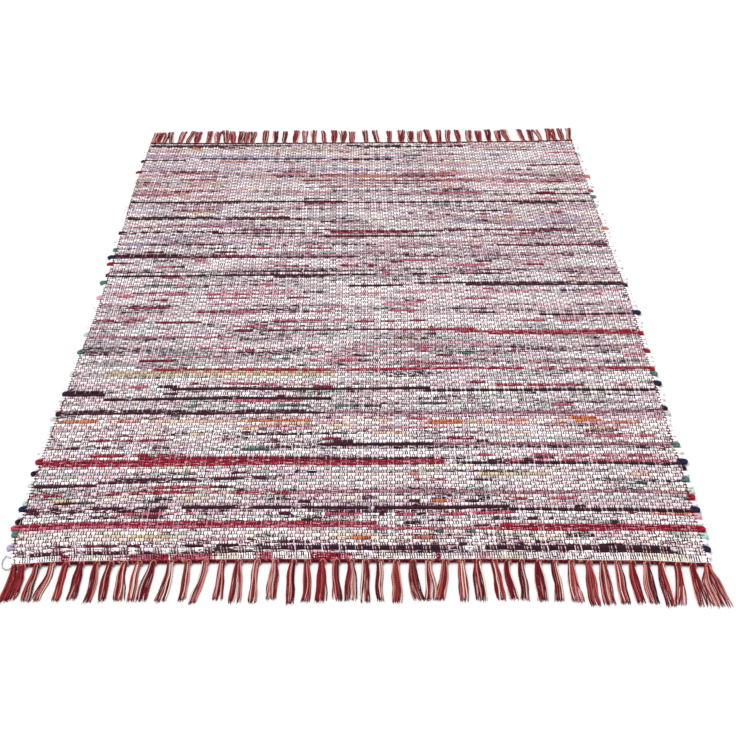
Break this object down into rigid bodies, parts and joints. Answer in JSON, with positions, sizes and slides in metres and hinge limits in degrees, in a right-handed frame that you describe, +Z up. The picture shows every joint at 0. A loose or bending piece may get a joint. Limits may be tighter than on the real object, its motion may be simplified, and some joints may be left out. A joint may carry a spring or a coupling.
{
  "type": "flat-woven rag rug with knotted fringe",
  "caption": "Flat rectangular rug of thick woven rag strips in ribbed rows, with weft turns along its long sides and a knotted tassel fringe on each short end.",
  "frame": {"origin": "middle of the rug on the floor under it", "axes": "+X to the right across the rug, +Y along the rug from the near fringe to the far fringe, +Z up"},
  "size_m": [1.2431, 2.025, 0.009],
  "materials": {
    "rag_weave": "matt cotton rag weft in off-white, pale pink and mauve grey with crimson, aubergine, straw, orange and teal streaks, tied down by fine dark wine and pale warps",
    "warp_yarn": "matt twisted cotton yarn in dark red, brick, salmon, beige and near black"
  },
  "bodies": {
    "root": {"woven_field": "rag_weave", "near_fringe": "warp_yarn", "far_fringe": "warp_yarn"}
  },
  "joints": []
}
